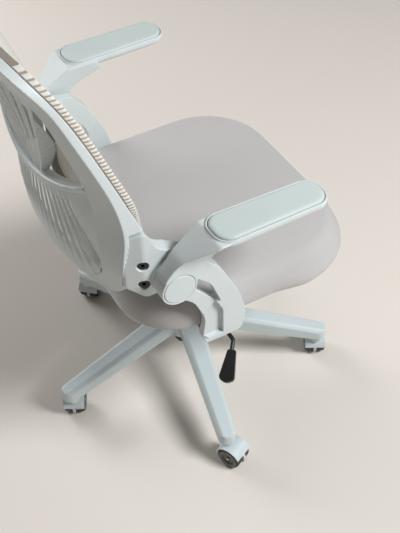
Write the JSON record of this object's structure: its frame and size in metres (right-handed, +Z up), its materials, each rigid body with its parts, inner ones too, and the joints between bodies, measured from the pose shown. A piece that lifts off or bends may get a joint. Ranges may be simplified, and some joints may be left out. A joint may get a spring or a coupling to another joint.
{
  "type": "office chair",
  "caption": "Swivel office chair with a castor base, gas-lift column, tilt mechanism, upholstered seat, flip-up armrests and a mesh backrest in a slotted frame.",
  "frame": {"origin": "on the floor under the swivel axis", "axes": "+Z up along the swivel axis, -Y the way the chair faces, -X its right-hand side"},
  "size_m": [0.6528, 0.6582, 0.976],
  "materials": {
    "base_nylon": "fine moulded texture",
    "frame_plastic": "satin moulded",
    "castor_plastic": "satin moulded",
    "wheel_plastic": "soft tread",
    "pan_plastic": "moulded",
    "black_plastic": "moulded",
    "pad_skin": "self-skinned foam",
    "seat_fabric": "plain woven cloth over foam",
    "mesh_fabric": "ribbed net",
    "column_steel": "powder coat",
    "mechanism_steel": "powder coat",
    "lever_steel": "powder coat",
    "chrome_steel": "ground and plated",
    "bright_steel": "turned",
    "spring_steel": "oiled",
    "black_bolts": "black oxide"
  },
  "bodies": {
    "base": {"star_base": "base_nylon", "column_outer_tube": "column_steel", "column_guide_bush": "black_plastic", "column_thrust_bearing": "bright_steel"},
    "swivel": {"column_piston_rod": "bright_steel", "column_retaining_clip": "bright_steel"},
    "lift": {"column_gas_cylinder": "chrome_steel", "mech_housing": "mechanism_steel", "tilt_axle": "bright_steel", "lever_pin": "bright_steel", "tension_spring": "spring_steel"},
    "valve": {"column_valve_button": "bright_steel"},
    "seat": {"seat_plate": "mechanism_steel", "plate_bolts": "black_bolts", "tension_stud": "bright_steel", "seat_pan": "pan_plastic", "seat_cushion": "seat_fabric", "side_bracket_right": "frame_plastic", "side_bracket_left": "frame_plastic", "knuckle_bolts": "black_bolts", "bracket_bolts": "black_bolts", "arm_pivot_pin_right": "bright_steel", "arm_pivot_pin_left": "bright_steel", "back_frame": "frame_plastic", "lower_shell": "frame_plastic", "upper_shell": "frame_plastic", "mesh_carrier": "frame_plastic", "back_mesh": "mesh_fabric"},
    "spring_cup": {"spring_cup": "bright_steel"},
    "knob": {"tension_knob": "black_plastic"},
    "lever_bush": {"lever_bush": "black_plastic"},
    "lever": {"lever_rod": "lever_steel", "lever_paddle": "black_plastic"},
    "arm_right": {"arm_body_right": "frame_plastic", "arm_pad_right": "pad_skin", "arm_pivot_cap_right": "frame_plastic"},
    "arm_left": {"arm_body_left": "frame_plastic", "arm_pad_left": "pad_skin", "arm_pivot_cap_left": "frame_plastic"},
    "castor_1": {"castor_1_pins": "bright_steel", "castor_1_hood": "castor_plastic"},
    "castor_1_left": {"castor_1_wheel_left": "wheel_plastic"},
    "castor_1_right": {"castor_1_wheel_right": "wheel_plastic"},
    "castor_2": {"castor_2_pins": "bright_steel", "castor_2_hood": "castor_plastic"},
    "castor_2_left": {"castor_2_wheel_left": "wheel_plastic"},
    "castor_2_right": {"castor_2_wheel_right": "wheel_plastic"},
    "castor_3": {"castor_3_pins": "bright_steel", "castor_3_hood": "castor_plastic"},
    "castor_3_left": {"castor_3_wheel_left": "wheel_plastic"},
    "castor_3_right": {"castor_3_wheel_right": "wheel_plastic"},
    "castor_4": {"castor_4_pins": "bright_steel", "castor_4_hood": "castor_plastic"},
    "castor_4_left": {"castor_4_wheel_left": "wheel_plastic"},
    "castor_4_right": {"castor_4_wheel_right": "wheel_plastic"},
    "castor_5": {"castor_5_pins": "bright_steel", "castor_5_hood": "castor_plastic"},
    "castor_5_left": {"castor_5_wheel_left": "wheel_plastic"},
    "castor_5_right": {"castor_5_wheel_right": "wheel_plastic"}
  },
  "joints": [
    {"name": "seat_swivel", "type": "hinge", "parent": "base", "child": "swivel", "pos_m": [0, 0, 0.07], "axis": [0, 0, 1], "continuous": true},
    {"name": "seat_height", "type": "slide", "parent": "swivel", "child": "lift", "axis": [0, 0, 1], "range_m": [0, 0.1]},
    {"name": "seat_tilt", "type": "hinge", "parent": "lift", "child": "seat", "pos_m": [0, -0.055, 0.352], "axis": [-1, 0, 0], "range_deg": [0, 12], "stiffness_Nm_per_rad": 150, "springref_deg": -17.19, "deforming": ["tension_spring"]},
    {"name": "knob_rise", "type": "slide", "parent": "seat", "child": "spring_cup", "axis": [0, 0, 1], "range_m": [0, 0.006], "deforming": ["tension_spring"]},
    {"name": "knob_turn", "type": "hinge", "parent": "spring_cup", "child": "knob", "pos_m": [0, -0.098, 0.24], "axis": [0, 0, 1], "range_deg": [0, 1080]},
    {"name": "lever_lift", "type": "hinge", "parent": "lift", "child": "lever_bush", "pos_m": [-0.058, 0, 0.34], "axis": [0, 1, 0], "range_deg": [0, 4]},
    {"name": "lever_lock", "type": "slide", "parent": "lever_bush", "child": "lever", "axis": [-1, 0, 0], "range_m": [0, 0.012]},
    {"name": "valve_press", "type": "slide", "parent": "lift", "child": "valve", "axis": [0, 0, -1], "range_m": [0, 0.0042]},
    {"name": "arm_flip_right", "type": "hinge", "parent": "seat", "child": "arm_right", "pos_m": [-0.27, 0.154, 0.548], "axis": [-1, 0, 0], "range_deg": [0, 90]},
    {"name": "arm_flip_left", "type": "hinge", "parent": "seat", "child": "arm_left", "pos_m": [0.27, 0.154, 0.548], "axis": [-1, 0, 0], "range_deg": [0, 90]},
    {"name": "castor_1_swivel", "type": "hinge", "parent": "base", "child": "castor_1", "pos_m": [-0.02741, 0.28468, 0.07], "axis": [0, 0, 1], "continuous": true},
    {"name": "castor_1_roll_left", "type": "hinge", "parent": "castor_1", "child": "castor_1_left", "pos_m": [-0.01182, 0.27568, 0.025], "axis": [0.5, 0.866, 0], "continuous": true},
    {"name": "castor_1_roll_right", "type": "hinge", "parent": "castor_1", "child": "castor_1_right", "pos_m": [-0.01182, 0.27568, 0.025], "axis": [0.5, 0.866, 0], "continuous": true},
    {"name": "castor_2_swivel", "type": "hinge", "parent": "base", "child": "castor_2", "pos_m": [-0.27922, 0.0619, 0.07], "axis": [0, 0, 1], "continuous": true},
    {"name": "castor_2_roll_left", "type": "hinge", "parent": "castor_2", "child": "castor_2_left", "pos_m": [-0.29553, 0.0543, 0.025], "axis": [0.4226, -0.9063, 0], "continuous": true},
    {"name": "castor_2_roll_right", "type": "hinge", "parent": "castor_2", "child": "castor_2_right", "pos_m": [-0.29553, 0.0543, 0.025], "axis": [0.4226, -0.9063, 0], "continuous": true},
    {"name": "castor_3_swivel", "type": "hinge", "parent": "base", "child": "castor_3", "pos_m": [-0.14516, -0.24643, 0.07], "axis": [0, 0, 1], "continuous": true},
    {"name": "castor_3_roll_left", "type": "hinge", "parent": "castor_3", "child": "castor_3_left", "pos_m": [-0.12957, -0.25543, 0.025], "axis": [0.5, 0.866, 0], "continuous": true},
    {"name": "castor_3_roll_right", "type": "hinge", "parent": "castor_3", "child": "castor_3_right", "pos_m": [-0.12957, -0.25543, 0.025], "axis": [0.5, 0.866, 0], "continuous": true},
    {"name": "castor_4_swivel", "type": "hinge", "parent": "base", "child": "castor_4", "pos_m": [0.18951, -0.2142, 0.07], "axis": [0, 0, 1], "continuous": true},
    {"name": "castor_4_roll_left", "type": "hinge", "parent": "castor_4", "child": "castor_4_left", "pos_m": [0.20642, -0.20805, 0.025], "axis": [-0.342, 0.9397, 0], "continuous": true},
    {"name": "castor_4_roll_right", "type": "hinge", "parent": "castor_4", "child": "castor_4_right", "pos_m": [0.20642, -0.20805, 0.025], "axis": [-0.342, 0.9397, 0], "continuous": true},
    {"name": "castor_5_swivel", "type": "hinge", "parent": "base", "child": "castor_5", "pos_m": [0.26228, 0.11404, 0.07], "axis": [0, 0, 1], "continuous": true},
    {"name": "castor_5_roll_left", "type": "hinge", "parent": "castor_5", "child": "castor_5_left", "pos_m": [0.27566, 0.102, 0.025], "axis": [0.6691, 0.7431, 0], "continuous": true},
    {"name": "castor_5_roll_right", "type": "hinge", "parent": "castor_5", "child": "castor_5_right", "pos_m": [0.27566, 0.102, 0.025], "axis": [0.6691, 0.7431, 0], "continuous": true}
  ],
  "couplings": [
    {"joint": "knob_turn", "follows": "knob_rise", "rad_per_m": 3141.5},
    {"joint": "valve_press", "follows": "lever_lift", "m_per_rad": 0.058}
  ]
}
